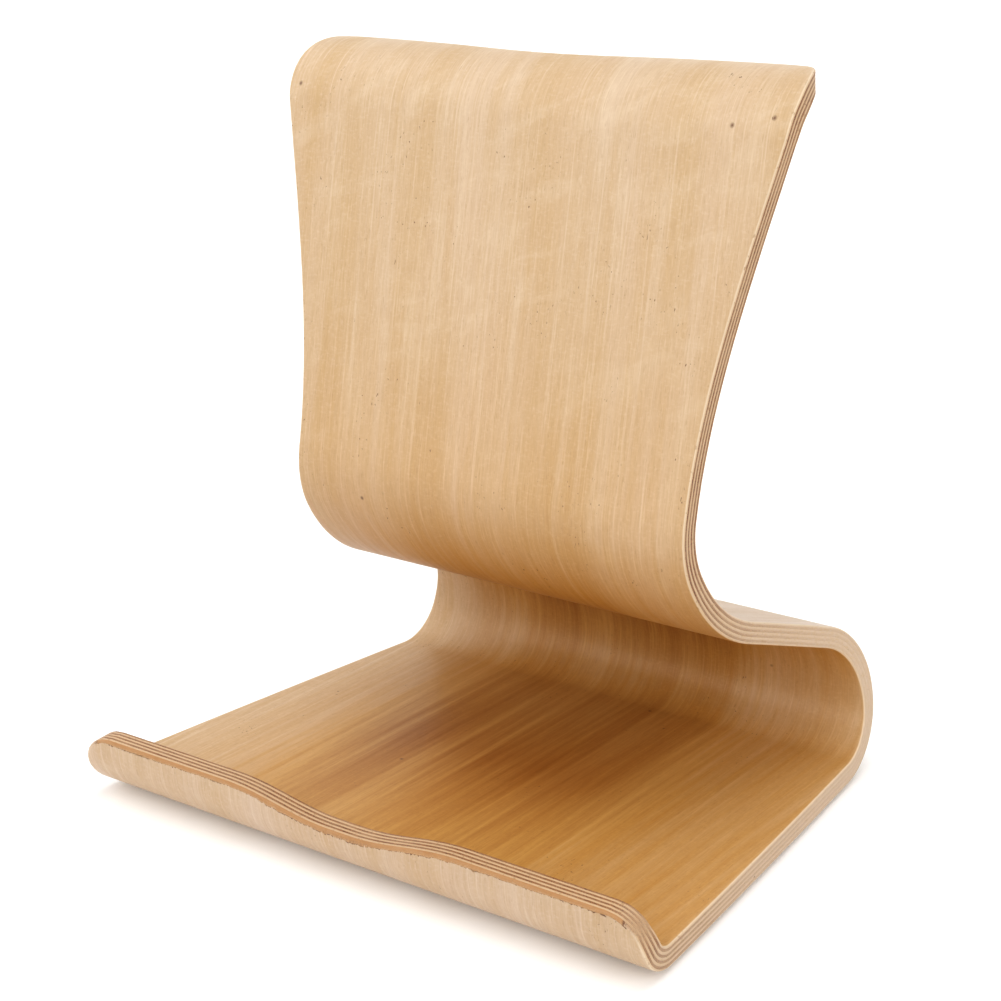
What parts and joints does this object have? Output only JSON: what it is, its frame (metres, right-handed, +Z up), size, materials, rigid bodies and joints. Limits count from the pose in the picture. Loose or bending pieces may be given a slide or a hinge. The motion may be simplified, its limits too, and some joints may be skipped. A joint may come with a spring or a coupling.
{
  "type": "tablet stand",
  "caption": "Free-standing bent plywood stand: front lip, flat base, rear bend, shelf, waist and leaning backrest with a rolled top, holding a tablet or phone upright.",
  "frame": {"origin": "on the surface the stand rests on, under the middle of its box", "axes": "+Z up, +X to the right along the lip, -Y towards the front lip"},
  "size_m": [0.137, 0.1112, 0.1514],
  "materials": {
    "veneer_long_grain": "satin lacquered pale birch, grain along the ribbon",
    "veneer_cross_grain": "birch end grain at the cut edge, grain across the ribbon",
    "pad_rubber": "matt black self-adhesive rubber"
  },
  "bodies": {
    "root": {"face_veneer": "veneer_long_grain", "core_veneer_7": "veneer_cross_grain", "core_veneer_6": "veneer_long_grain", "core_veneer_5": "veneer_cross_grain", "core_veneer_4": "veneer_long_grain", "core_veneer_3": "veneer_cross_grain", "core_veneer_2": "veneer_long_grain", "core_veneer_1": "veneer_cross_grain", "back_veneer": "veneer_long_grain", "foot_pad_1": "pad_rubber", "foot_pad_2": "pad_rubber", "foot_pad_3": "pad_rubber", "foot_pad_4": "pad_rubber"}
  },
  "joints": []
}
